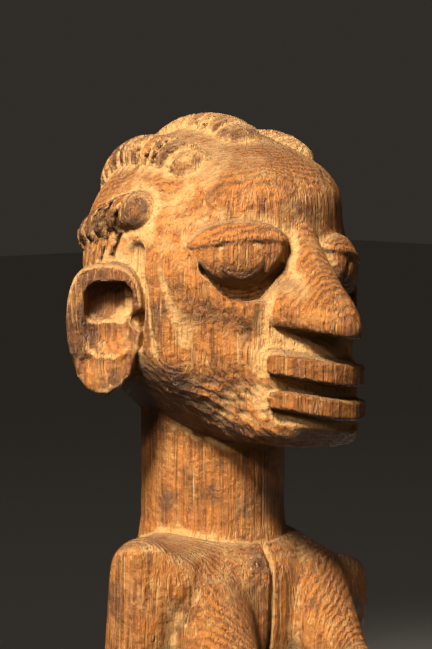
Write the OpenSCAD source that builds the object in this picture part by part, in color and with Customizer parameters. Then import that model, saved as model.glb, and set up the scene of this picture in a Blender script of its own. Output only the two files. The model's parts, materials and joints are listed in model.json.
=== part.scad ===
// A carved wooden fertility doll: a standing woman on a round plinth, cut from one block.
// Each carved mass is a module and a node of its own, and neighbours meet face to face.
// Frame: +Z up, the figure faces -Y, origin at the middle of the plinth's underside. Millimetres.

/* [Plinth] */
// Radius of the round plinth
plinth_r = 38; // [34:1:44]
// Height of the plinth
plinth_h = 12; // [10:1:16]

/* [Body] */
// Height from the plinth to the crotch
leg_h = 78; // [70:1:90]
// Height from the crotch to the foot of the neck
torso_h = 77; // [70:1:85]
// Distance from the middle of the body to a shoulder's centre
shoulder_x = 23.5; // [22:0.5:27]
// Radius of an upper arm at the shoulder
shoulder_r = 8; // [6.5:0.5:8.5]
// How much higher than the middle the right shoulder stands, and how much lower the left one
shoulder_slant = 5.5; // [0:0.5:6]
// Distance from the middle of the body to a leg's centre
leg_x = 12.5; // [11.5:0.5:14]

/* [Neck] */
// Radius of the neck
neck_r = 14.5; // [12:0.5:16]

/* [Head] */
// Height of the skull's centre above the foot of the neck
skull_lift = 54; // [52:1:58]
// Radius of the skull
skull_r = 27; // [26:0.5:28]
// Radius of the muzzle that carries the lips
muzzle_r = 14; // [13.5:0.5:15.5]
// How far the face hangs down to its left, in degrees
face_slant = 8; // [0:1:9]
// Height of an ear
ear_h = 25; // [22:1:28]

/* [Hair] */
// Radius of a hair crest's round section
crest_r = 4.2; // [3.8:0.1:4.8]
// How far the middle crest leans from upright to the figure's right, in degrees
middle_lean = 5; // [0:1:6]
// Tilt of the right upper crest from upright, in degrees
upper_tilt = 35; // [34:1:38]
// Tilt of the lower side crests from upright, in degrees
lower_tilt = 65; // [62:1:68]
// Number of cross cuts in a crest
crest_cuts = 11; // [6:1:14]

/* [Hidden] */

RIGHT = -1; // the figure's right side lies at -X
LEFT = 1;
FINE = 24;
COARSE = 16;

ankle_z = plinth_h + 15;
knee_z = plinth_h + 0.51 * leg_h;
crotch_z = plinth_h + leg_h;
waist_z = crotch_z + 0.34 * torso_h;
chest_z = crotch_z + 0.78 * torso_h;
neck_foot_z = crotch_z + torso_h;
skull_z = neck_foot_z + skull_lift;
jaw_z = skull_z - 34;

neck_sink = 5;       // depth of the neck in the torso
neck_top_z = jaw_z + 12;  // the neck ends inside the head
muzzle_y = -21.5;      // centre of the muzzle's round front
ear_z = skull_z - 10.3;
nose_base_z = skull_z - 11.6;
upper_lip_z = skull_z - 18.7;
lower_lip_z = skull_z - 25.2;
lip_half_h = 2.1;
lip_out = 1.4;       // how far a lip stands out of the muzzle
lip_end = 58;        // how far a lip runs round the muzzle from the front, in degrees
lip_notches = 12;    // upright cuts across a lip
crest_path_r = skull_r - 1.3;
left_upper_tilt = upper_tilt - middle_lean;
crest_steps = 7;

wood = [0.60, 0.36, 0.17];
dusty_wood = [0.74, 0.54, 0.30];
worn_wood = [0.52, 0.26, 0.11];

// ---------- shapes that repeat ----------

module ball(place, radii, sides = FINE) {
    translate(place) scale(radii) sphere(1, $fn = sides);
}

// A round limb that tapers from one ball to another
module limb(a, ra, b, rb, sides = COARSE) {
    hull() {
        translate(a) sphere(ra, $fn = sides);
        translate(b) sphere(rb, $fn = sides);
    }
}

// ---------- legs and plinth ----------

module plinth() {
    chamfer = 1.5;
    color(wood) rotate_extrude($fn = 96) polygon([
        [0, 0], [plinth_r - chamfer, 0], [plinth_r, chamfer],
        [plinth_r - 1, plinth_h - chamfer], [plinth_r - 1 - chamfer, plinth_h], [0, plinth_h]
    ]);
}

module foot(side) {
    toe_y = -14;
    heel_y = 4;
    foot_h = 9;
    color(wood) hull() {
        translate([side * leg_x, heel_y, plinth_h]) cylinder(h = foot_h, r1 = 8, r2 = 7, $fn = COARSE);
        translate([side * (leg_x + 1), toe_y, plinth_h]) cylinder(h = 4.5, r1 = 8.5, r2 = 8, $fn = COARSE);
    }
}

module leg_blank(side) {
    hip = [side * leg_x, 1, crotch_z - 3];
    knee = [side * (leg_x + 0.5), -6, knee_z];
    calf = [side * leg_x, 3, (knee_z + ankle_z) / 2 + 3];
    ankle = [side * leg_x, 2, ankle_z];
    heel = [side * leg_x, 2, plinth_h + 7];
    limb(hip, 12, knee, 9.6);
    limb(knee, 9.6, calf, 9.4);
    limb(calf, 9.4, ankle, 7);
    limb(ankle, 7, heel, 7);
}

// The half of space on one side of the body's middle, so that left and right don't meet
module own_side(side) {
    gap = 0.4;
    translate([side * (50 + gap), 0, crotch_z]) cube([100, 200, 2 * neck_foot_z], center = true);
}

module leg(side) {
    color(wood) difference() {
        intersection() {
            leg_blank(side);
            own_side(side);
        }
        foot(side);
        hips_blank();
        translate([0, 0, plinth_h - 50 + 0.01]) cube([200, 200, 100], center = true);
    }
}

// ---------- trunk ----------

module hips_blank() {
    hull() {
        ball([0, 4, crotch_z + 4], [23, 15, 12]);
        ball([0, -1, crotch_z + 12], [20, 14, 11]);
    }
}

module hips() {
    color(wood) difference() {
        hips_blank();
        torso_blank();
        for (side = [RIGHT, LEFT]) hand_blank(side);
        for (side = [RIGHT, LEFT]) arm_blank(side);
    }
}

module torso_blank() {
    belly = [0, -6, waist_z - 3];
    waist = [0, -3, waist_z + 12];
    chest = [0, -4, chest_z + 1];
    yoke_h = 6;
    hull() {
        ball(belly, [18, 15, 13]);
        ball(waist, [17.5, 13, 10]);
    }
    hull() {
        ball(waist, [17.5, 13, 10]);
        ball(chest, [22, 15, 13]);
    }
    hull() {
        ball(chest, [22, 15, 13]);
        translate([0, -1.5, neck_foot_z - yoke_h])
            scale([1, 0.72, 1]) cylinder(h = yoke_h, r1 = 24.5, r2 = 22, $fn = FINE);
    }
}

module torso() {
    color(wood) difference() {
        torso_blank();
        for (side = [RIGHT, LEFT]) arm_blank(side);
        for (side = [RIGHT, LEFT]) hand_blank(side);
        for (side = [RIGHT, LEFT]) breast_blank(side);
        navel_blank();
        translate([0, 0, neck_foot_z - neck_sink]) cylinder(h = 50, r = neck_r, $fn = 64);
    }
}

module navel_blank() {
    translate([0, -21, waist_z - 4]) sphere(3.2, $fn = COARSE);
}

module navel() {
    color(worn_wood) navel_blank();
}

module breast_blank(side) {
    hull() {
        ball([side * 10.8, -12.5, chest_z + 2], [9, 7, 10]);
        ball([side * 12.6, -25, chest_z - 8], [5, 5.2, 5.2]);
    }
}

module breast(side) {
    color(wood) difference() {
        breast_blank(side);
        arm_blank(side);
    }
}

// ---------- arms ----------

module arm_blank(side) {
    shoulder = [side * shoulder_x, -10.5, neck_foot_z - 9.2 - side * shoulder_slant];
    elbow = [side * 25.8, -4, waist_z + 6];
    wrist = [side * 20, -15, waist_z - 9];
    limb(shoulder, shoulder_r, elbow, 6.4);
    limb(elbow, 6.4, wrist, 4.8);
}

module arm(side) {
    color(wood) difference() {
        arm_blank(side);
        hand_blank(side);
    }
}

module hand_blank(side) {
    palm = [side * 17, -18, waist_z - 10];
    fingers = [side * 9, -21.3, waist_z - 11];
    hull() {
        ball(palm, [5, 3.6, 5.2], COARSE);
        ball(fingers, [3, 2.4, 4.6], COARSE);
    }
}

module hand(side) {
    color(worn_wood) hand_blank(side);
}

// ---------- neck and head ----------

module neck() {
    low = neck_foot_z - neck_sink;
    color(wood) translate([0, 0, low]) cylinder(h = neck_top_z - low, r = neck_r, $fn = 64);
}

module skull_blank() {
    cheeks = [0, -6.5, skull_z - 10];
    cheek_radii = [24.5, 20, 15];
    hull() {
        translate([0, 0, skull_z]) sphere(skull_r, $fn = 36);
        ball(cheeks, cheek_radii);
    }
    hull() {
        ball(cheeks, cheek_radii);
        ball([0, -7, jaw_z + 11], [20, 18, 11]);
    }
    hull() {
        ball([0, -8, skull_z - 18], [20, 17, 9]);
        translate([0, muzzle_y, lower_lip_z - 1]) cylinder(h = 12, r = muzzle_r, $fn = 32);
        ball([0, muzzle_y - 1, jaw_z + 5], [12, 12.5, 5]);
    }
    for (side = [RIGHT, LEFT]) lid_blank(side);
}

module head() {
    color(wood) difference() {
        skull_blank();
        for (side = [RIGHT, LEFT]) eye_blank(side);
        for (side = [RIGHT, LEFT]) ear_blank(side);
        nose_blank();
        for (z = [upper_lip_z, lower_lip_z]) lip_blank(z);
        for (tilt = [-upper_tilt, -middle_lean, left_upper_tilt]) crest_blank(tilt, UPPER_SPAN);
        for (tilt = [-lower_tilt, lower_tilt]) crest_blank(tilt, LOWER_SPAN);
        translate([0, 0, neck_top_z - 60]) cylinder(h = 60, r = neck_r, $fn = 64);
    }
}

// ---------- eyes ----------

// The eye's own axes, from the middle of the line through its corners
module eye_place(side) {
    x = 12.8;
    lean = 10; // the outer corner hangs lower than the inner one
    translate([side * x, -22.2, skull_z + 3.7 - side * x * tan(face_slant)])
        rotate([0, side * lean + face_slant, side * 36]) children();
}

module eye_blank(side) {
    eye_place(side) hull() ball([0, 1.6, -2.4], [9.3, 6.2, 5.8]);
}

// The raised rim of the lids, round the eye and lower than its bulge
module lid_blank(side) {
    eye_place(side) ball([0, 2.4, -2.4], [11.5, 5.2, 8]);
}

module eye(side) {
    pupil_r = 3.8;
    groove = 0.7;
    color(worn_wood) difference() {
        eye_blank(side);
        nose_blank();
        eye_place(side) translate([0, -2.6, -3.4]) rotate([90, 0, 0]) difference() {
            cylinder(h = 4, r = pupil_r, $fn = FINE);
            cylinder(h = 9, r = pupil_r - groove, center = true, $fn = FINE);
        }
    }
}

// ---------- nose and lips ----------

// A wedge with a straight ridge, broad wings and a flat underside
module nose_blank() {
    wing_x = 6.6;
    drop = wing_x * tan(face_slant);
    difference() {
        hull() {
            translate([0, -23, skull_z + 8]) sphere(3.2, $fn = COARSE);
            translate([0, -34.5, nose_base_z + 2.5]) sphere(4.4, $fn = COARSE);
            for (side = [RIGHT, LEFT])
                translate([side * wing_x, -28, nose_base_z + 2.5 - side * drop]) sphere(3.4, $fn = COARSE);
        }
        translate([0, -30, nose_base_z]) rotate([0, face_slant, 0])
            translate([0, 0, -10]) cube([60, 60, 20], center = true);
    }
}

module nose() {
    color(worn_wood) nose_blank();
}

// A lip is a bar bent round the muzzle, rounder in front than behind
module lip_blank(z) {
    depth = 4;
    translate([0, muzzle_y, z]) rotate([0, face_slant, 0]) rotate([0, 0, -90 - lip_end])
        rotate_extrude(angle = 2 * lip_end, $fn = 64)
            translate([muzzle_r + lip_out - depth, 0]) hull() {
                translate([0, -lip_half_h]) square([1, 2 * lip_half_h]);
                translate([depth - 1, 0]) scale([1, lip_half_h - 0.5]) circle(1, $fn = FINE);
            }
}

module lip(z) {
    cut_w = 0.6;
    color(worn_wood) difference() {
        lip_blank(z);
        for (i = [1 : lip_notches])
            translate([0, muzzle_y, z]) rotate([0, face_slant, 0])
                rotate([0, 0, lip_end * (2 * i / (lip_notches + 1) - 1)])
                    translate([0, -muzzle_r - lip_out, 0]) cube([cut_w, 1.2, 2 * lip_half_h + 1], center = true);
    }
}

// ---------- ears ----------

ear_turn = 45;   // degrees that an ear's cup is turned outwards from straight ahead
ear_half_w = 7.4;
ear_lift = 0.9;  // how much higher the left ear sits, and how much lower the right one

module ear_place(side) {
    translate([side * 29.2, -3, ear_z + side * ear_lift]) rotate([0, 0, side * ear_turn]) children();
}

module ear_blank(side) {
    ear_place(side) hull() {
        ball([0, 1, 0], [ear_half_w, 4, ear_h / 2]);
        ball([side * -4, 5, 0], [4, 3.5, ear_h / 2 - 4], COARSE);
    }
}

module ear(side) {
    rim = 2.2;
    lobe = 4.5;
    color(dusty_wood) difference() {
        ear_blank(side);
        ear_place(side) ball([0, -3, (lobe - rim) / 2], [ear_half_w - rim, 5, (ear_h - lobe - rim) / 2]);
    }
}

// ---------- hair ----------

// Where a crest starts and ends, as angles up from the face, and how far it sinks sideways meanwhile
UPPER_SPAN = [65, 150, 0];
LOWER_SPAN = [76, 118, 9];

// A place on the skull: tilt is the crest's lean to one side, turn the angle up from the face
function crest_point(tilt, turn) = [
    crest_path_r * sin(tilt) * sin(turn),
    -crest_path_r * cos(turn),
    skull_z + crest_path_r * cos(tilt) * sin(turn)
];

function crest_turn(span, share) = span[0] + (span[1] - span[0]) * share;

function crest_tilt(tilt, span, share) = tilt + sign(tilt) * span[2] * share;

// The crests draw together towards the nape, so each gets slimmer there
function crest_half_w(turn) = crest_r * sqrt(sin(turn));

module crest_blank(tilt, span) {
    for (step = [0 : crest_steps - 1]) {
        share = step / crest_steps;
        next_share = (step + 1) / crest_steps;
        turn = crest_turn(span, share);
        next_turn = crest_turn(span, next_share);
        here = crest_point(crest_tilt(tilt, span, share), turn);
        there = crest_point(crest_tilt(tilt, span, next_share), next_turn);
        limb(here, crest_half_w(turn), there, crest_half_w(next_turn), 12);
    }
}

module crest(tilt, span) {
    cut_w = 1;
    cut_depth = 1.6;
    cut_pitch = (UPPER_SPAN[1] - UPPER_SPAN[0]) / (crest_cuts + 1);
    outer_r = crest_path_r + crest_r;
    cuts = floor((span[1] - span[0]) / cut_pitch);
    color(dusty_wood) difference() {
        crest_blank(tilt, span);
        for (i = [1 : cuts]) {
            share = i / (cuts + 1);
            translate([0, 0, skull_z]) rotate([0, crest_tilt(tilt, span, share), 0])
                rotate([crest_turn(span, share) - 90, 0, 0])
                    translate([0, 0, outer_r]) cube([3 * crest_r, cut_w, 2 * cut_depth], center = true);
        }
    }
}

plinth();
foot(RIGHT);  // right_foot
foot(LEFT);  // left_foot
leg(RIGHT);  // right_leg
leg(LEFT);  // left_leg
hips();
torso();
navel();
breast(RIGHT);  // right_breast
breast(LEFT);  // left_breast
arm(RIGHT);  // right_arm
arm(LEFT);  // left_arm
hand(RIGHT);  // right_hand
hand(LEFT);  // left_hand
neck();
head();
nose();
lip(upper_lip_z);  // upper_lip
lip(lower_lip_z);  // lower_lip
eye(RIGHT);  // right_eye
eye(LEFT);  // left_eye
ear(RIGHT);  // right_ear
ear(LEFT);  // left_ear
crest(-middle_lean, UPPER_SPAN);  // hair_crest_middle
crest(-upper_tilt, UPPER_SPAN);  // hair_crest_right_upper
crest(left_upper_tilt, UPPER_SPAN);  // hair_crest_left_upper
crest(-lower_tilt, LOWER_SPAN);  // hair_crest_right_lower
crest(lower_tilt, LOWER_SPAN);  // hair_crest_left_lower
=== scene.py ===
"""A carved wooden fertility doll.

Each carved mass is written as a distance function in millimetres, in the CAD frame. The masses are
blended into one carving, cut back into one closed mesh per CAD node, and finished in worn wood.
"""

import json
import math

import bpy
import numpy as np
import openvdb
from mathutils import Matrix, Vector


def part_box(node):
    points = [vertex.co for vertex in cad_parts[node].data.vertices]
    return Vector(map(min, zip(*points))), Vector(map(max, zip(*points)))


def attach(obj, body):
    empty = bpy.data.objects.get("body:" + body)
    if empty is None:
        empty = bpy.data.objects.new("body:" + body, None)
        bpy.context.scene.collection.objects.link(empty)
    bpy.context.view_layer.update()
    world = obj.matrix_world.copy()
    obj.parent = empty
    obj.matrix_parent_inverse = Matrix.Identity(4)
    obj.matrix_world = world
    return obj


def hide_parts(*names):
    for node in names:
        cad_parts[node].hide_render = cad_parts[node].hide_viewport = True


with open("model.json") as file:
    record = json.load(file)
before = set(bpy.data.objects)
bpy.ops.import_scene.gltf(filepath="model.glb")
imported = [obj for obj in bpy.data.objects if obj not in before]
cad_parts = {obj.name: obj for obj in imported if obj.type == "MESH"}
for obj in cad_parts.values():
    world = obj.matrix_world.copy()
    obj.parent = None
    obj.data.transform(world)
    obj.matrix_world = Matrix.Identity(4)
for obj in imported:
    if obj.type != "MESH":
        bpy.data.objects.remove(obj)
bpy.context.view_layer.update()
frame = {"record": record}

MM = 0.001
RIGHT = -1  # the figure's right side lies at -X
LEFT = 1
SIDES = {"right": RIGHT, "left": LEFT}


# ---------- places taken from the frame, in millimetres ----------


def node_box(name):
    """A CAD node's lowest and highest corners."""
    low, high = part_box(name)
    return np.array(low) / MM, np.array(high) / MM


PLINTH_R, _, PLINTH_TOP = node_box("plinth")[1]
NECK_R = node_box("neck")[1][0]
NECK_FOOT = node_box("torso")[1][2]
EAR_DROP = 10.3  # from the skull's centre down to the ears' middle
SKULL_Z = EAR_DROP + sum(z for ear in ("left_ear", "right_ear") for _, _, z in node_box(ear)) / 4
CRESTS_TOP = node_box("hair_crest_middle")[1][2]


# ---------- distance functions ----------


def vec(*values):
    return np.array(values, dtype=np.float32)


def length(v):
    return np.sqrt(np.einsum("ij,ij->i", v, v))


def ellipsoid(p, centre, radii):
    q = (p - vec(*centre)) / vec(*radii)
    k0 = length(q)
    k1 = length(q / vec(*radii))
    return k0 * (k0 - 1) / np.maximum(k1, 1e-5)


def limb(p, a, b, ra, rb):
    """A round bar from a to b whose radius runs from ra to rb."""
    a = vec(*a)
    axis = vec(*b) - a
    t = np.clip((p - a) @ axis / (axis @ axis), 0, 1)
    return length(p - a - t[:, None] * axis) - (ra + (rb - ra) * t)


def slab(p, centre, half, rounding=1.0):
    q = np.abs(p - vec(*centre)) - vec(*half) + rounding
    return length(np.maximum(q, 0)) + np.minimum(q.max(axis=1), 0) - rounding


def above(p, point, normal):
    """Positive on the side that the normal points to."""
    n = vec(*normal)
    return (p - vec(*point)) @ (n / np.linalg.norm(n))


def join(a, b, blend=0.0):
    if blend == 0:
        return np.minimum(a, b)
    h = np.maximum(blend - np.abs(a - b), 0) / blend
    return np.minimum(a, b) - h * h * blend / 4


def common(a, b, blend=0.0):
    return -join(-a, -b, blend)


def cut(a, b, blend=0.0):
    return common(a, -b, blend)


def local(p, centre, turn=0.0, lean=0.0):
    """Points in a feature's own axes: x along it, -y out of the carving, z up. Angles in degrees."""
    q = p - vec(*centre)
    c, s = math.cos(math.radians(turn)), math.sin(math.radians(turn))
    x = q[:, 0] * c + q[:, 1] * s
    y = -q[:, 0] * s + q[:, 1] * c
    c, s = math.cos(math.radians(lean)), math.sin(math.radians(lean))
    return np.stack([x * c + q[:, 2] * s, y, -x * s + q[:, 2] * c], axis=1)


def mirrored(p, side):
    """The same points as the left side sees them."""
    return p * vec(side, 1, 1)


def both(p):
    """Folds the right half onto the left, for features that the two sides share."""
    return np.stack([np.abs(p[:, 0]), p[:, 1], p[:, 2]], axis=1)


def hand_wobble(p, size, pitch):
    """Moves points a little, so that the two halves aren't quite alike."""
    k = 2 * math.pi / pitch
    phase = vec(0.3, 1.9, 4.1)
    return p + size * np.sin(k * p[:, [1, 2, 0]] + phase) * np.cos(0.7 * k * p[:, [2, 0, 1]] + 2 * phase)


# ---------- the head's masses: all in millimetres from the skull's centre ----------

FACE_SLOPE = 0.145  # the face is carved askew: its left side hangs lower
EYE_AT = (12.8, -22.2, 3.7)
EYE_TURN = 36
EYE_LEAN = -10
EYE_HALF = 9.3
EYE_UP = 3.4  # from the line through the corners up to the lid's top
EYE_DOWN = 8.2
NOSE_BASE = -11.6
MOUTH_Y = -21.5
MOUTH_R = 15.0
UPPER_LIP = (-18.7, 2.2)  # middle and half height
LOWER_LIP = (-25.2, 2.0)
JAW = -33.9
JAW_BEVEL = ((25.6, -3, -20.5), (0.69, 0.05, -0.72))  # a point on the plane, and its normal
CHIN_BEVEL = ((0, -33.6, -30.5), (0, -0.75, -0.66))


def askew(p):
    """Points as they would lie if the face were level."""
    level = p.copy()
    level[:, 2] += FACE_SLOPE * p[:, 0]
    return level


def skull(p):
    q = both(p)
    d = ellipsoid(q, (0, -0.4, 0.6), (26.2, 26.5, 26.3))
    d = join(d, ellipsoid(q, (0, -5, -7), (24.8, 21.5, 20)), 6)
    d = join(d, ellipsoid(q, (0, -7, -19), (22.4, 19, 15.5)), 5)
    d = join(d, ellipsoid(q, (0, 1, -18), (21, 19, 16.5)), 5)
    d = join(d, ellipsoid(q, (0, -16.5, 13), (16, 9, 8)), 6)
    return join(d, limb(q, (23.0, -7, -12), (21.0, -7.5, -21), 3.4, 4.4), 4)


def face(p):
    """The masses that carry the eyes, the cheeks and the mouth, once the face is level."""
    q = both(p)
    d = ellipsoid(q, (0, -9, -1), (23, 17.2, 14))
    cheek = limb(q, (21.2, -10.5, -5), (19.5, -12.5, -20), 3.8, 4.2)
    cheek = join(cheek, limb(q, (21.8, -11.5, -2.5), (12.5, -24.8, -9), 3.2, 3.0), 3)
    fluted = np.clip((-q[:, 1] - 8) / 2, 0, 1) * np.clip((q[:, 1] + 19) / 3, 0, 1)
    fluted = fluted * np.clip((-q[:, 2] - 2) / 3, 0, 1) * np.clip((q[:, 2] + 22) / 4, 0, 1)
    flutes = np.abs(np.sin(np.pi * (0.55 * q[:, 0] - 0.83 * q[:, 1] + 0.06 * q[:, 2]) / 2.3))
    cheek = cheek + 0.8 * fluted * (0.5 - flutes)
    d = join(d, cheek, 3)
    d = join(d, ellipsoid(q, (0, -15, -17), (18.5, 16.5, 14)), 4)
    out = np.maximum(np.hypot(q[:, 0], q[:, 1] - MOUTH_Y), 4)
    chin = np.stack([out, np.full_like(out, 0), q[:, 2]], axis=1)
    return join(d, slab(chin, (4, 0, -24), (9.8, 9, 10), 5), 3)


def ear_groove(p):
    """The dusty hollow between the cheek and the ear."""
    return limb(both(p), (26.6, -8.0, 3), (26.2, -8.3, -13), 2.6, 2.3)


def eye_outline(q):
    """The eye seen from the front: a shallow arc over a deep one, which meet at the corners."""
    top_r = (EYE_HALF**2 + EYE_UP**2) / (2 * EYE_UP)
    low_r = (EYE_HALF**2 + EYE_DOWN**2) / (2 * EYE_DOWN)
    top = np.hypot(q[:, 0], q[:, 2] - EYE_UP + top_r) - top_r
    low = np.hypot(q[:, 0], q[:, 2] + EYE_DOWN - low_r) - low_r
    return np.maximum(top, low)


def eye_floor(q):
    """The sunk surface that the eye stands on."""
    return ellipsoid(q, (0, 8, -2.4), (17, 9.2, 12))


def orbit(p):
    """The sunk field round the eye, crisp at the brow and at the top of the cheek."""
    q = local(p, EYE_AT, EYE_TURN, EYE_LEAN)
    ends = np.clip((q[:, 0] + 8) / 5, 0.1, 1) * np.clip((7 - q[:, 0]) / 4, 0.1, 1)
    reach = 0.6 + 2.3 * ends * np.clip(-q[:, 2] / 4, 0, 1)
    field = common(eye_outline(q) - reach, np.maximum(q[:, 1] - 6, q[:, 0] - 8.0), 0.6)
    return cut(field, eye_floor(q), 0.6)


def eye_crease(p):
    """The dark crease under the eye, where it leaves its field."""
    q = local(p, EYE_AT, EYE_TURN, EYE_LEAN)
    line = np.abs(eye_outline(q) - 0.6) - 0.8 + 0.25 * np.clip(q[:, 0] - 2.5, 0, 5)
    line = common(line, q[:, 2] + 3 - 0.2 * q[:, 0])
    return common(line, -eye_floor(q) - 0.8)


def eye_inner_hollow(p):
    """The soft hollow between the eye and the nose."""
    q = local(p, EYE_AT, EYE_TURN, EYE_LEAN)
    return ellipsoid(q, (-11.4, -5.4, -1.5), (3.6, 4.0, 7.5))


def eye_ball(p):
    q = local(p, EYE_AT, EYE_TURN, EYE_LEAN)
    d = common(ellipsoid(q, (0.3, 1.4, -2.4), (10.6, 5.4, 6.9)), eye_outline(q), 1.0)
    lid = np.clip((q[:, 2] + 0.9 + 0.008 * q[:, 0] ** 2) / 1.0, 0, 1)
    d = d - 0.6 * lid
    pupil = np.abs(np.hypot((q[:, 0] + 0.2) * 0.9, q[:, 2] + 3.7) - 4.2)
    carved = np.clip(1 - pupil / 0.8, 0, 1) * (1 - lid) * (q[:, 1] < 0)
    return d + 0.4 * carved


def nose(p):
    q = both(p)
    d = limb(q, (0, -22.8, 8.0), (0, -31.5, -6), 3.6, 5.4)
    d = join(d, ellipsoid(q, (5.6, -28.2, -8.8), (4.2, 5.0, 5.4)), 3)
    d = join(d, ellipsoid(q, (0, -34.0, -10.0), (6.4, 5.0, 5.2)), 3)
    return common(d, above(p, (0, -30, NOSE_BASE), (0, 0.03, -1)), 0.6)


def mouth_out(q):
    return np.hypot(q[:, 0], q[:, 1] - MOUTH_Y) - MOUTH_R


def under_nose(p):
    """The hollow between the nose's flat underside and the upper lip, a wedge that opens forwards."""
    q = both(p)
    roof = q[:, 2] - NOSE_BASE
    floor = UPPER_LIP[0] + UPPER_LIP[1] + 0.2 - q[:, 2] + 0.10 * (q[:, 1] - MOUTH_Y + 15)
    hollow = common(common(roof, floor), -4.2 - mouth_out(q), 1)
    return common(hollow, q[:, 1] - MOUTH_Y + 7.5, 1)


def lip(p, middle, half_h):
    """A bar bent round the mouth, flat in front, whose ends run into the cheeks."""
    q = both(p)
    back = np.clip((q[:, 1] - MOUTH_Y + 15) / 8, 0, 1)
    height = (q[:, 2] - middle) / (1 - 0.22 * back)
    bar = np.stack([np.zeros_like(back), np.maximum(mouth_out(q), -3), height], axis=1)
    d = slab(bar, (0, -1.5, 0), (1, 1.8, half_h), 0.7)
    return common(d, above(q, (0, MOUTH_Y - 8.2, 0), (0, 1, 0)), 0.8)


def mouth_gap(p):
    q = both(p)
    top = UPPER_LIP[0] - UPPER_LIP[1]
    bottom = LOWER_LIP[0] + LOWER_LIP[1]
    z = np.abs(q[:, 2] - (top + bottom) / 2) - (top - bottom) / 2 - 0.2
    return common(z, np.maximum(-4.0 - mouth_out(q), q[:, 1] - MOUTH_Y + 8.5), 0.5)


def under_lip(p):
    """The cut that parts the lower lip from the chin."""
    q = both(p)
    z = np.abs(q[:, 2] - LOWER_LIP[0] + LOWER_LIP[1] + 0.8) - 0.8
    return common(z, np.maximum(-2.0 - mouth_out(q), q[:, 1] - MOUTH_Y + 9), 0.8)


def cheek_fold(p):
    """The fold from the nose's wing down past the corner of the mouth."""
    q = both(p)
    return limb(q, (11.2, -28.6, -9), (14.2, -29.4, -23), 0.8, 1.3)


# ---------- ears ----------

EAR_AT = (28.7, -3.0, -EAR_DROP)
EAR_TURN = 45
EAR_HALF_W = 7.1
EAR_SLOPE = -0.03  # the left ear sits a little higher
EAR_HALF_H = 12.4


def ear(p, side):
    q = local(mirrored(p, side), EAR_AT, EAR_TURN)
    q[:, 2] += EAR_SLOPE * side * EAR_AT[0]
    t, out, up = q[:, 0], -q[:, 1], q[:, 2]
    lobe = np.clip(-up / EAR_HALF_H, 0, 1)
    width = EAR_HALF_W * (1 - 0.16 * lobe)
    round_off = 2.8
    oval = np.power(np.abs(t / width) ** round_off + np.abs(up / EAR_HALF_H) ** round_off, 1 / round_off)
    oval = (oval - 1) * width
    d = common(oval, np.abs(out - 0.4 * np.sin(up * 0.25)) - 3.2, 1.2)
    facet = above(q, (2.0, 0, -EAR_HALF_H), (0.75, -0.1, -1))
    d = common(d, facet, 0.6)
    d = common(d, above(q, (-2.0, 0, -EAR_HALF_H), (-0.8, 0, -1)), 0.6)
    d = common(d, above(q, (3.5, -3.0, -8), (0.5, -1, -0.15)), 0.5)
    chiselled = np.clip((-up - 4.5) / 1.5, 0, 1) * np.clip((11 + up) / 4, 0, 1) * np.clip(out, 0, 1)
    d = d + 0.5 * chiselled * np.abs(np.sin(np.pi * (t + 0.2 * up) / 3.4))
    d = join(d, ellipsoid(q, (-5.5, 5, -0.5), (5.5, 5, 8.5)), 3)
    bowl = slab(q, (-0.7, -4.0, 5.0), (4.4, 4.7, 3.9), 2.8)
    d = cut(d, bowl, 0.6)
    ledge = ellipsoid(q, (-0.9, -5.6, -0.2), (5.6, 5.0, 6.2))
    d = cut(d, ledge, 0.8)
    notch = limb(q, (-9.5, -5, 2.2), (-6.4, -1.5, 1.6), 2.4, 1.7)
    return cut(d, notch, 0.5)


# ---------- hair ----------

CREST_R = 26.3
CREST_HALF_H = 3.7
CREST_SINK = 14  # how deep a crest that falls sideways sinks at its back end, per unit of its fall
# A path holds the crest's tilt, the angles up from the face at its front and back ends, its sideways
# fall and its half width. The pitch is the angle from one cut to the next.
CREST_STYLES = {
    "hair_crest_middle": dict(path=(-5, 65, 150, 0, 4.6), pitch=6.4, slant=0.03, depth=0.9),
    "hair_crest_right_upper": dict(path=(-35, 66, 150, 0, 4.3), pitch=6.8, slant=0.08, depth=1.3),
    "hair_crest_left_upper": dict(path=(30, 63, 150, 0, 4.5), pitch=6.8, slant=0.08, depth=1.1),
    "hair_crest_right_lower": dict(path=(-65, 76, 118, 0.10, 4.0), pitch=8.8, slant=0.12, depth=0.4),
    "hair_crest_left_lower": dict(path=(65, 76, 118, 0.10, 4.0), pitch=8.8, slant=0.12, depth=0.4),
}


def ridge(p, path):
    """A rounded ridge over the skull from the forehead to the nape, and where along it a point lies."""
    tilt, front, back, fall, half_w = path
    c, s = math.cos(math.radians(tilt)), math.sin(math.radians(tilt))
    up = p[:, 0] * s + p[:, 2] * c
    turn = np.degrees(np.arctan2(up, -p[:, 1]))
    across = p[:, 0] * c - p[:, 2] * s
    across = across - np.sign(tilt) * fall * np.maximum(turn - front, 0)
    held = np.radians(np.clip(turn, front, back))
    share = np.clip((turn - front) / (back - front), 0, 1)
    slim = np.sqrt(np.sin(held)) * (1 - 0.25 * share)
    path_r = CREST_R - CREST_SINK * fall * share
    section = np.stack([across / (half_w * slim),
                        (up - path_r * np.sin(held)) / (CREST_HALF_H * slim),
                        (p[:, 1] + path_r * np.cos(held)) / (CREST_HALF_H * slim)], axis=1)
    return (length(section) - 1) * CREST_HALF_H * slim, turn, across


def crest(p, path, pitch, slant, depth):
    """A ridge with cuts across it, but none over its rounded front end."""
    tilt, front = path[:2]
    d, turn, across = ridge(p, path)
    uneven = 0.35 * np.sin(0.11 * turn + tilt) + 0.2 * np.sin(0.31 * turn)
    wave = np.cos(2 * np.pi * (turn / pitch + slant * across + uneven))
    worn = np.clip((turn - front + 2) / 4, 0, 1) * (0.75 + 0.25 * np.sin(0.2 * turn + 0.9 * across))
    return d + depth * worn * np.clip((wave - 0.05) / 0.6, 0, 1)


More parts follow.
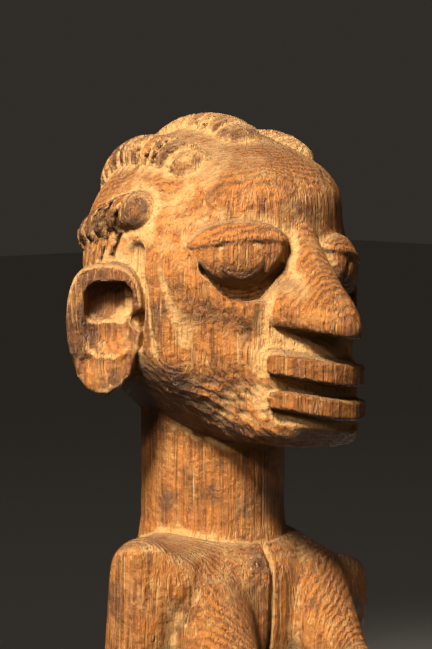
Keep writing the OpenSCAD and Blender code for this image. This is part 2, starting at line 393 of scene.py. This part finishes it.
def slits(p, path, pitch, slant):
    """Deep narrow cuts that run over a crest's lower flank and on into the head below it."""
    d, turn, across = ridge(p, path)
    below = np.sign(path[0]) * across
    wave = np.cos(2 * np.pi * (turn / pitch - slant * below))
    over = common(d - 1.4 - 2.6 * np.clip(below / 3, 0, 1), CREST_R - 2.3 - length(p))
    over = common(over, -1.5 - below)
    return common(common(over, 1.3 * (0.15 - wave)), 0.5 * (path[1] + 5 - turn))


def hair_bed(p):
    """The low swelling that the crests rise from."""
    d = None
    for style in CREST_STYLES.values():
        one = ridge(p, style["path"])[0] + 2.5
        d = one if d is None else join(d, one, 4)
    return d


# ---------- the whole head as parts ----------


def head_parts(p):
    """Distance to each of the head's masses, by node name."""
    q = hand_wobble(p - vec(0, 0, SKULL_Z), 0.35, 31)
    f = askew(q)
    folded = both(f)
    body = join(join(skull(q), face(f), 4), hair_bed(q), 3)
    body = cut(body, ear_groove(q), 0.8)
    body = common(body, above(folded, *JAW_BEVEL), 3)
    body = common(body, above(folded, *CHIN_BEVEL), 2)
    body = common(body, JAW - 0.6 - q[:, 2], 3)
    body = cut(body, orbit(folded), 0.5)
    body = cut(body, eye_inner_hollow(folded), 3)
    body = cut(body, eye_crease(folded), 0.3)
    body = cut(body, under_nose(f), 1.5)
    body = cut(body, mouth_gap(f), 0.4)
    body = cut(body, under_lip(f), 1.0)
    body = cut(body, cheek_fold(f), 1.5)
    parts = {"head": body, "nose": nose(f)}
    parts["upper_lip"] = lip(f, *UPPER_LIP)
    parts["lower_lip"] = lip(f, *LOWER_LIP)
    for word, side in SIDES.items():
        parts[word + "_eye"] = eye_ball(mirrored(f, side))
        parts[word + "_ear"] = ear(q, side)
    for name, style in CREST_STYLES.items():
        parts[name] = crest(q, **style)
    for word in SIDES:
        name = f"hair_crest_{word}_lower"
        style = CREST_STYLES[name]
        cuts = slits(q, style["path"], style["pitch"], style["slant"])
        parts[name] = cut(parts[name], cuts, 0.4)
        parts["head"] = cut(parts["head"], cuts, 0.4)
    parts["neck"] = neck(p)
    return parts


# ---------- the neck and the body, in the frame ----------

TORSO_H = 0.49 * (NECK_FOOT - PLINTH_TOP)
CROTCH = NECK_FOOT - TORSO_H
WAIST = CROTCH + 0.34 * TORSO_H
CHEST = CROTCH + 0.78 * TORSO_H
KNEE = PLINTH_TOP + 0.51 * (CROTCH - PLINTH_TOP)
ANKLE = PLINTH_TOP + 15
CALF = (KNEE + ANKLE) / 2 + 3
LEG_X = 12.5
SHOULDER_AT = (25.2, -10.4, NECK_FOOT - 8.6)
SHOULDER_TILT = 5.5  # how much higher the right shoulder stands, and the left one lower
SHOULDER_R = 6.6


def neck(p):
    around = np.hypot(p[:, 0], p[:, 1]) - NECK_R
    flare = 0.9 * np.clip((NECK_FOOT + 3 - p[:, 2]) / 6, 0, 1)
    return common(around - flare, np.abs(p[:, 2] - NECK_FOOT - 12) - 17, 1)


def torso(p):
    q = both(p)
    d = ellipsoid(q, (0, -6, WAIST - 3), (18, 15, 14))
    d = join(d, ellipsoid(q, (0, -4, WAIST + 13), (17, 13, 17)), 8)
    d = join(d, ellipsoid(q, (0, -4.5, CHEST), (23, 14.5, 19)), 8)
    for side in SIDES.values():
        top = (side * 20, -9, NECK_FOOT - 10 - 0.8 * side * SHOULDER_TILT)
        d = join(d, limb(p, (0, -3, NECK_FOOT - 10), top, 10.5, 8.5), 6)
    d = join(d, limb(q, (16.5, -10, NECK_FOOT - 14), (18, -8.5, CHEST - 14), 8, 7.5), 4)
    d = join(d, ellipsoid(q, (0, -1, NECK_FOOT - 7), (19.5, 16, 9.5)), 5)
    top = p[:, 2] - NECK_FOOT - 1.5 + 0.065 * p[:, 0] - 0.07 * p[:, 1]
    d = common(d, top + 0.12 * np.maximum(np.hypot(p[:, 0], p[:, 1]) - NECK_R, 0), 2)
    crack = np.maximum(np.abs(p[:, 0] + 0.8 - 0.04 * (p[:, 2] - CHEST)) - 0.45, -1.4 - d)
    crack = common(crack, np.maximum(p[:, 1] + 5, CHEST - 16 - p[:, 2]))
    return cut(d, crack, 0.3)


def breast(q):
    d = limb(q, (13.0, -11.0, CHEST + 3), (13.6, -24.5, CHEST - 8), 11.2, 5.4)
    return join(d, ellipsoid(q, (12.9, -29.6, CHEST - 9.4), (2.2, 1.8, 2.2)), 1)


def navel(p):
    ring = np.hypot(p[:, 0], p[:, 2] - WAIST + 4)
    boss = ellipsoid(p, (0, -21, WAIST - 4), (3.4, 3.4, 3.4))
    return cut(boss, np.maximum(ring - 1.0, p[:, 1] + 23), 0.5)


def arm(q, side):
    """An arm carved flat in front and outside at the shoulder, with a raised band at the wrist."""
    shoulder = vec(*SHOULDER_AT) - vec(0, 0, side * SHOULDER_TILT)
    elbow = (25.8, -4, WAIST + 6)
    wrist = (20, -15, WAIST - 9)
    d = limb(q, shoulder, elbow, SHOULDER_R, 6.4)
    d = common(d, above(q, (25, -16.4, NECK_FOOT - 15), (0.35, -1, 0.1)), 1.2)
    d = common(d, above(q, (31.1, -9, NECK_FOOT - 15), (1, -0.2, 0.05)), 1.2)
    d = join(d, limb(q, elbow, wrist, 6.2, 4.8), 2)
    band = np.abs(above(q, (21, -13.6, WAIST - 7.0), (-0.45, -0.66, -0.9))) - 1.1
    return d - 0.8 * np.clip(-band / 0.5, 0, 1)


def hand(q):
    d = ellipsoid(q, (17, -18, WAIST - 10), (5.4, 3.8, 5.2))
    for finger in range(4):
        z = WAIST - 6.8 - 2.5 * finger
        reach = 8.0 + 0.5 * abs(finger - 1)
        d = join(d, limb(q, (15.5, -19.3, z), (reach, -21.6, z - 0.6), 1.7, 1.35), 0.4)
    thumb = limb(q, (16.5, -19.5, WAIST - 6), (13, -20.0, WAIST - 2.2), 1.9, 1.5)
    return join(d, thumb, 0.8)


def hips(p):
    q = both(p)
    d = ellipsoid(q, (0, 0, CROTCH + 8), (21, 15, 13))
    d = join(d, ellipsoid(q, (10, 8, CROTCH + 4), (12, 11, 11)), 4)
    cleft = limb(p, (0, 20, CROTCH + 12), (0, 17, CROTCH - 6), 1.2, 1.6)
    return cut(d, cleft, 1.5)


def leg(q):
    d = limb(q, (LEG_X, 1, CROTCH - 3), (LEG_X + 0.5, -5.5, KNEE), 12.2, 9.2)
    d = join(d, limb(q, (LEG_X + 0.5, -5.5, KNEE), (LEG_X, 3.5, CALF), 9.0, 9.2), 2)
    d = join(d, limb(q, (LEG_X, 3.5, CALF), (LEG_X, 2, ANKLE), 9.2, 6.8), 3)
    d = join(d, limb(q, (LEG_X, 2, ANKLE), (LEG_X, 1, PLINTH_TOP + 6), 6.8, 7.2), 2)
    d = join(d, ellipsoid(q, (LEG_X + 0.5, -12, KNEE + 1), (6, 4, 7)), 2)
    return common(d, 0.4 - q[:, 0], 0.5)


def foot(q):
    d = limb(q, (LEG_X, 4, PLINTH_TOP + 4), (LEG_X + 1, -13, PLINTH_TOP + 1), 7.8, 6.2)
    d = join(d, slab(q, (LEG_X + 1, -12, PLINTH_TOP + 1), (8.2, 9.5, 3.6), 2.5), 2)
    for gap in range(4):
        x = LEG_X - 3.6 + 3.1 * gap
        d = cut(d, limb(q, (x, -16, PLINTH_TOP + 5), (x - 0.3, -24, PLINTH_TOP + 3), 0.5, 0.9), 0.5)
    return common(d, PLINTH_TOP - 1.5 - q[:, 2])


def plinth(p):
    angle = np.arctan2(p[:, 1], p[:, 0])
    facets = 0.35 * np.cos(17 * angle + 0.8 * np.sin(3 * angle)) + 0.3 * np.cos(5 * angle + 1)
    half_h = PLINTH_TOP / 2
    taper = 0.6 * p[:, 2] / PLINTH_TOP
    across = np.hypot(p[:, 0], p[:, 1]) - (PLINTH_R - 0.7 - taper + facets)
    q = np.stack([np.maximum(across, -6), np.zeros_like(across), p[:, 2] - half_h], axis=1)
    return slab(q, (-10, 0, 0), (10, 9, half_h), 1.3)


def body_parts(p):
    """Distance to each of the body's masses, by node name."""
    still = p[:, 2] < PLINTH_TOP + 4
    q = np.where(still[:, None], p, hand_wobble(p, 0.35, 37))
    parts = {"torso": torso(q), "hips": hips(q), "navel": navel(q), "plinth": plinth(p)}
    for word, side in SIDES.items():
        half = mirrored(q, side)
        parts[word + "_breast"] = breast(half)
        parts[word + "_arm"] = arm(half, side)
        parts[word + "_hand"] = hand(half)
        parts[word + "_leg"] = leg(half)
        parts[word + "_foot"] = foot(half)
    return parts


# ---------- from distances to meshes ----------

PLUG = 2.5  # how far a piece reaches under its neighbours
MARK_SIZE = 3.2  # width of one knife cut
MARK_DEPTH = 0.16
CHIP_SIZE = 1.5
CHIP_DEPTH = 0.55
BLOCK = 300000  # points of a grid that are worked out at a time


def whole(parts, blend):
    total = None
    for d in parts.values():
        total = d if total is None else join(total, d, blend)
    return total


def piece_distance(parts, name, blend):
    """A mass's share of the blended carving. Past its border it dips under its neighbours."""
    nearest = np.minimum.reduce([d for other, d in parts.items() if other != name])
    past = (parts[name] - nearest) / 2
    return np.maximum(whole(parts, blend) + np.maximum(past, 0), past - PLUG)


def scallops(p, size):
    """0.5 in the middle of each cut down to -0.5 on the ridges between them."""
    rng = np.random.default_rng(7)
    table = rng.random((4096, 3), dtype=np.float32)
    q = p / vec(size, size, 1.5 * size)
    cell = np.floor(q).astype(np.int64)
    nearest = np.full(len(p), 9.0, dtype=np.float32)
    for dx in (-1, 0, 1):
        for dy in (-1, 0, 1):
            for dz in (-1, 0, 1):
                at = cell + np.array([dx, dy, dz])
                key = (at[:, 0] * 73856093 ^ at[:, 1] * 19349663 ^ at[:, 2] * 83492791) & 4095
                gap = at + table[key] - q
                nearest = np.minimum(nearest, np.einsum("ij,ij->i", gap, gap))
    return 0.5 - np.minimum(nearest, 1)


def knife_marks(p):
    """Shallow scallops that meet at ridges, as a knife leaves them, with chipped wood under the jaw."""
    jaw = np.clip((SKULL_Z - 17 - p[:, 2]) / 6, 0, 1) * np.clip((p[:, 2] - SKULL_Z - JAW + 2) / 3, 0, 1)
    jaw = jaw * np.clip((-p[:, 1] - 2) / 4, 0, 1) * np.clip((p[:, 1] + 34) / 4, 0, 1)
    chips = scallops(p[:, [2, 1, 0]] + vec(0.4, 0.4, 0) * p[:, [0]], CHIP_SIZE)
    return MARK_DEPTH * scallops(p, MARK_SIZE) + (0.04 + CHIP_DEPTH * jaw) * chips


def gradient(function, p, step=0.12):
    d = function(p)
    slopes = [function(p + step * axis) - d for axis in np.eye(3, dtype=np.float32)]
    g = np.stack(slopes, axis=1) / step
    return d, g / np.maximum(length(g), 1e-3)[:, None]


def sample(parts_of, low, high, step):
    """Every part's distance on a regular grid between two corners."""
    axes = [np.arange(a, b, step, dtype=np.float32) for a, b in zip(low, high)]
    grid = np.meshgrid(*axes, indexing="ij")
    points = np.stack([g.ravel() for g in grid], axis=1)
    blocks = [parts_of(points[i:i + BLOCK]) for i in range(0, len(points), BLOCK)]
    joined = {name: np.concatenate([b[name] for b in blocks]) for name in blocks[0]}
    return joined, grid[0].shape


def closed_mesh(values, low, step):
    volume = openvdb.FloatGrid(background=3 * step)
    volume.copyFromArray(np.clip(values, -3 * step, 3 * step))
    points, quads = volume.convertToQuads(0.0)
    return points * step + vec(*low), quads


def finer(points, quads):
    """Splits each quad in four."""
    ends = np.sort(np.stack([quads, np.roll(quads, -1, axis=1)], axis=2).reshape(-1, 2), axis=1)
    edges, which = np.unique(ends, axis=0, return_inverse=True)
    which = which.reshape(-1, 4) + len(points)
    middles = points[edges].mean(axis=1)
    centres = points[quads].mean(axis=1)
    centre = np.arange(len(quads)) + len(points) + len(edges)
    corners = [[quads[:, i], which[:, i], centre, which[:, i - 1]] for i in range(4)]
    split = np.concatenate([np.stack(c, axis=1) for c in corners])
    return np.concatenate([points, middles, centres]), split


def settle(points, distance):
    """Moves a mesh's points onto the exact surface, with its knife marks."""
    _, out = gradient(distance, points)
    for _ in range(3):
        d = distance(points) + knife_marks(points)
        points = points - np.clip(0.9 * d, -0.5, 0.5)[:, None] * out
    return points, gradient(distance, points)[1]


def mesh_object(name, points, quads):
    mesh = bpy.data.meshes.new(name)
    mesh.from_pydata(points * MM, [], quads.tolist())
    mesh.update()
    mesh.shade_smooth()
    obj = bpy.data.objects.new(name, mesh)
    bpy.context.scene.collection.objects.link(obj)
    return obj


def add_attribute(obj, name, values):
    layer = obj.data.attributes.new(name, "FLOAT", "POINT")
    layer.data.foreach_set("value", values.astype(np.float32))


def solid(p):
    """Distance to the whole carving: to its head or its body, whichever is nearer."""
    head = whole(head_parts(p), HEAD_BLEND)
    body = whole(body_parts(p), BODY_BLEND)
    return np.minimum(head, body)


def closeness(p, out, reaches, inwards=False):
    """0 on open or flat wood, towards 1 in a hollow; or on a sharp edge when looking inwards."""
    sign = -1 if inwards else 1
    total = 0
    for reach in reaches:
        depth = solid(p + sign * reach * out) * sign
        total = total + np.clip(1 - depth / reach, 0, 1)
    return total / len(reaches)


HEAD_BLEND = 0.7
BODY_BLEND = 1.2
HEAD_BOX = ((-44, -50, NECK_FOOT - 8), (44, 34, CRESTS_TOP + 6))
BODY_BOX = ((-PLINTH_R - 4, -PLINTH_R - 4, -4), (PLINTH_R + 4, PLINTH_R + 4, NECK_FOOT + 4))


def carve(parts_of, box, step, blend):
    """Makes one closed mesh for each part inside the box."""
    low, high = box
    parts, shape = sample(parts_of, low, high, step)
    made = {}
    for name in parts:
        values = piece_distance(parts, name, blend).reshape(shape)
        points, quads = closed_mesh(values, low, step)
        points, quads = finer(points, quads)
        distance = lambda p, name=name: piece_distance(parts_of(p), name, blend)
        points, out = settle(points, distance)
        obj = mesh_object(name + ".wood", points, quads)
        add_attribute(obj, "hollow", closeness(points, out, (0.7, 1.6, 3.5)))
        add_attribute(obj, "edge", closeness(points, out, (0.8, 2.0), inwards=True))
        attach(obj, "root")
        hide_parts(name)
        made[name] = obj
    return made


# ---------- wood ----------


class Nodes:
    """Short calls for building a material's node tree."""

    def __init__(self, name):
        self.material = bpy.data.materials.new(name)
        self.material.use_nodes = True
        self.tree = self.material.node_tree
        self.shader = self.tree.nodes["Principled BSDF"]

    def add(self, kind, inputs=None, output=0, **settings):
        node = self.tree.nodes.new("ShaderNode" + kind)
        for key, value in settings.items():
            setattr(node, key, value)
        for key, value in (inputs or {}).items():
            if isinstance(value, bpy.types.NodeSocket):
                self.tree.links.new(value, node.inputs[key])
            else:
                node.inputs[key].default_value = value
        return node.outputs[output]

    def math(self, operation, a, b=0.0, c=0.0):
        return self.add("Math", {0: a, 1: b, 2: c}, operation=operation)

    def span(self, value, low, high, to_low=0.0, to_high=1.0):
        """Carries a value from one span to another, held at its ends."""
        return self.add("MapRange", {"Value": value, "From Min": low, "From Max": high,
                                     "To Min": to_low, "To Max": to_high})


def colour_mix(nodes, share, a, b):
    node = nodes.tree.nodes.new("ShaderNodeMix")
    node.data_type = "RGBA"
    for index, value in ((0, share), (6, a), (7, b)):
        if isinstance(value, bpy.types.NodeSocket):
            nodes.tree.links.new(value, node.inputs[index])
        else:
            node.inputs[index].default_value = value
    return node.outputs[2]


RING_PITCH = 0.85  # growth bands, in millimetres
PITH = (3, 6, 0)
# dark brown: the wood's random dark blotches, and also the painted shade on faces that look down or up
DARK_TONE_AND_SHADE = (0.050, 0.018, 0.006, 1)
BROWN = (0.17, 0.052, 0.008, 1)
ORANGE = (0.42, 0.145, 0.018, 1)
STRAW = (0.50, 0.24, 0.055, 1)
DUST = (0.53, 0.32, 0.125, 1)


def wood(name, powder, polish, age=0.0):
    """Open-pored wood: powder is its pale dust, polish how much hands rubbed it, age how dark it grew."""
    n = Nodes(name)
    place = n.add("TexCoord", output=3)
    facing = n.add("TexCoord", output=1)
    up = n.add("SeparateXYZ", {"Vector": facing}, output=2)
    mm = n.add("VectorMath", {0: place, "Scale": 1 / MM}, operation="SCALE")
    drift = n.add("TexNoise", {"Vector": mm, "Scale": 0.06, "Detail": 2.0}, output=1)
    drift = n.add("VectorMath", {0: drift, 1: (0.5, 0.5, 0.5)}, operation="SUBTRACT")
    drift = n.add("VectorMath", {0: drift, "Scale": 6.0}, operation="SCALE")
    bent = n.add("VectorMath", {0: mm, 1: drift}, operation="ADD")
    bent = n.add("VectorMath", {0: bent, 1: PITH}, operation="SUBTRACT")
    rings = n.add("TexWave", {"Vector": bent, "Scale": math.pi / 10 / RING_PITCH, "Distortion": 4.0,
                              "Detail": 3.0, "Detail Scale": 2.6, "Detail Roughness": 0.7},
                  output=1, wave_type="RINGS", rings_direction="Z")
    along = n.add("VectorMath", {0: mm, 1: (1.0, 1.0, 0.03)}, operation="MULTIPLY")
    stripes = n.add("TexNoise", {"Vector": along, "Scale": 1.1, "Detail": 3.0, "Roughness": 0.6})
    stripes = n.span(stripes, 0.34, 0.66)
    fibres = n.add("TexNoise", {"Vector": along, "Scale": 4.0, "Detail": 3.0, "Roughness": 0.6})
    streak = n.add("TexNoise", {"Vector": along, "Scale": 1.9, "Detail": 1.0, "Roughness": 0.5})
    streak = n.span(streak, 0.60, 0.70)
    blotch = n.add("TexNoise", {"Vector": mm, "Scale": 0.11, "Detail": 4.0, "Roughness": 0.65})
    patch = n.add("TexNoise", {"Vector": mm, "Scale": 0.21, "Detail": 4.0, "Roughness": 0.65})
    speck = n.add("TexNoise", {"Vector": mm, "Scale": 0.8, "Detail": 5.0, "Roughness": 0.75})
    pebble = n.add("TexVoronoi", {"Vector": mm, "Scale": 0.75}, feature="SMOOTH_F1")
    hollow = n.add("Attribute", output=2, attribute_name="hollow")
    edge = n.add("Attribute", output=2, attribute_name="edge")

    slope = n.span(n.math("ABSOLUTE", up), 0.15, 0.6)
    grain = colour_mix(n, slope, stripes, rings)
    grain = n.math("MULTIPLY_ADD", fibres, 0.6, n.math("MULTIPLY", grain, 0.4))
    colour = colour_mix(n, n.span(grain, 0.32, 0.6), BROWN, ORANGE)
    colour = colour_mix(n, n.span(patch, 0.52, 0.68, 0.0, 0.55), colour, STRAW)
    colour = colour_mix(n, n.span(blotch, 0.52 - age, 0.68 - age, 0.0, 0.75), colour, DARK_TONE_AND_SHADE)

    dust = n.math("MULTIPLY_ADD", hollow, 3.2, n.math("MULTIPLY", n.span(up, 0.05, 0.8), 0.4))
    dust = n.math("MULTIPLY_ADD", patch, 1.3, dust)
    dust = n.math("MULTIPLY_ADD", speck, 0.6, dust)
    dust = n.math("MULTIPLY_ADD", edge, -1.0, dust)
    dust = n.math("MULTIPLY_ADD", grain, -0.4, dust)
    dust = n.span(dust, 1.32 - powder, 1.75 - powder, 0.0, 0.95)
    in_pore = n.math("MULTIPLY", streak, n.span(patch, 0.35, 0.6, 0.35, 0.85))
    share = n.math("MAXIMUM", dust, in_pore)
    dusty = colour_mix(n, n.span(speck, 0.3, 0.7), STRAW, DUST)
    colour = colour_mix(n, share, colour, dusty)
    worn = n.span(n.math("MULTIPLY_ADD", edge, 1.3, n.math("MULTIPLY", patch, 0.9)),
                  0.85 - polish, 1.35 - polish)
    colour = colour_mix(n, n.math("MULTIPLY", worn, 0.35), colour, BROWN)
    # painted shade: faces that look down, as under the jaw and chin, are darkened towards the dark brown
    colour = colour_mix(n, n.span(up, -0.1, -0.5, 0.0, 0.7), colour, DARK_TONE_AND_SHADE)
    # painted shade: faces that look up are darkened too, holding back the key lamp's light on the tops
    colour = colour_mix(n, n.span(up, 0.35, 0.9, 0.0, 0.5), colour, DARK_TONE_AND_SHADE)
    n.tree.links.new(colour, n.shader.inputs["Base Color"])

    rough = n.span(share, 0.0, 1.0, 0.46, 0.85)
    rough = n.math("SUBTRACT", rough, n.math("MULTIPLY", worn, 0.2))
    n.tree.links.new(rough, n.shader.inputs["Roughness"])
    n.tree.links.new(n.span(share, 0.0, 0.5, 0.16, 0.0), n.shader.inputs["Coat Weight"])
    n.shader.inputs["Coat Roughness"].default_value = 0.3

    height = n.math("MULTIPLY_ADD", grain, 0.9, n.math("MULTIPLY", speck, 1.0))
    height = n.math("MULTIPLY_ADD", pebble, -0.45, height)
    height = n.math("MULTIPLY_ADD", streak, -0.4, height)
    bump = n.add("Bump", {"Height": height, "Strength": 1.0, "Distance": 0.7 * MM})
    n.tree.links.new(bump, n.shader.inputs["Normal"])
    n.tree.links.new(bump, n.shader.inputs["Coat Normal"])
    return n.material


# ---------- camera, floor and light ----------

CAMERA_TURN = -40
CAMERA_RISE = 6
CAMERA_AWAY = 330
VIEW_H = 129.8  # height that the camera sees at the doll
LAMP_WHITE = (1.0, 0.92, 0.82)
FILL_AMBER = (1.0, 0.82, 0.62)
RIM_WHITE = (1.0, 0.95, 0.9)


def look_from(turn, rise, away, target):
    """A camera or lamp place on a ball round the target, and the turn that faces it."""
    a, e = math.radians(turn), math.radians(rise)
    out = vec(math.sin(a) * math.cos(e), -math.cos(a) * math.cos(e), math.sin(e))
    place = vec(*target) + away * out
    return place * MM, (math.pi / 2 - e, 0, a)


def add_camera():
    data = bpy.data.cameras.new("camera")
    data.sensor_width = 36
    data.lens = data.sensor_width * CAMERA_AWAY / VIEW_H
    camera = bpy.data.objects.new("camera", data)
    camera.location, camera.rotation_euler = look_from(
        CAMERA_TURN, CAMERA_RISE, CAMERA_AWAY, (0, -1, SKULL_Z - 12.5))
    bpy.context.scene.collection.objects.link(camera)
    bpy.context.scene.camera = camera


def add_lamp(name, turn, rise, away, size, power, colour, spread=180, drop=20):
    data = bpy.data.lights.new(name, "AREA")
    data.shape = "DISK"
    data.size = size * MM
    data.energy = power
    data.color = colour
    data.spread = math.radians(spread)
    lamp = bpy.data.objects.new(name, data)
    lamp.location, lamp.rotation_euler = look_from(turn, rise, away, (0, 0, SKULL_Z - drop))
    bpy.context.scene.collection.objects.link(lamp)


def add_floor():
    reach = 3.0
    corners = [(-reach, -reach, 0), (reach, -reach, 0), (reach, reach, 0), (-reach, reach, 0)]
    mesh = bpy.data.meshes.new("floor")
    mesh.from_pydata(corners, [], [(0, 1, 2, 3)])
    floor = bpy.data.objects.new("floor", mesh)
    bpy.context.scene.collection.objects.link(floor)
    n = Nodes("floor")
    n.shader.inputs["Base Color"].default_value = (0.62, 0.60, 0.57, 1)
    n.shader.inputs["Roughness"].default_value = 0.8
    mesh.materials.append(n.material)


def add_world():
    world = bpy.data.worlds.new("studio")
    world.use_nodes = True
    back = world.node_tree.nodes["Background"]
    back.inputs["Color"].default_value = (1.0, 0.85, 0.7, 1)
    back.inputs["Strength"].default_value = 0.03
    bpy.context.scene.world = world
    bpy.context.scene.view_settings.view_transform = "Standard"


# ---------- the doll ----------

head_step = 0.7  # between the grid's points, in millimetres
body_step = 1.0
pieces = carve(head_parts, HEAD_BOX, head_step, HEAD_BLEND)
pieces.update(carve(body_parts, BODY_BOX, body_step, BODY_BLEND))

finishes = {
    "carved_wood": wood("carved wood", powder=0.18, polish=0.15),
    "powdered_wood": wood("powdered wood", powder=0.3, polish=0.1, age=0.14),
    "polished_wood": wood("polished wood", powder=0.0, polish=0.35, age=-0.12),
}
slots = {row["node"]: row["material_slot"] for row in frame["record"]["subparts"]}
for name, obj in pieces.items():
    obj.data.materials.append(finishes[slots[name]])

add_floor()
add_world()
add_lamp("key", turn=-66, rise=48, away=550, size=150, power=0.33, colour=LAMP_WHITE, spread=25, drop=0)
add_lamp("low key", turn=-66, rise=35, away=600, size=200, power=0.1, colour=LAMP_WHITE,
         spread=14, drop=165)
add_lamp("fill", turn=10, rise=10, away=900, size=700, power=0.22, colour=FILL_AMBER)
add_lamp("rim", turn=150, rise=45, away=800, size=400, power=0.12, colour=RIM_WHITE)
add_camera()
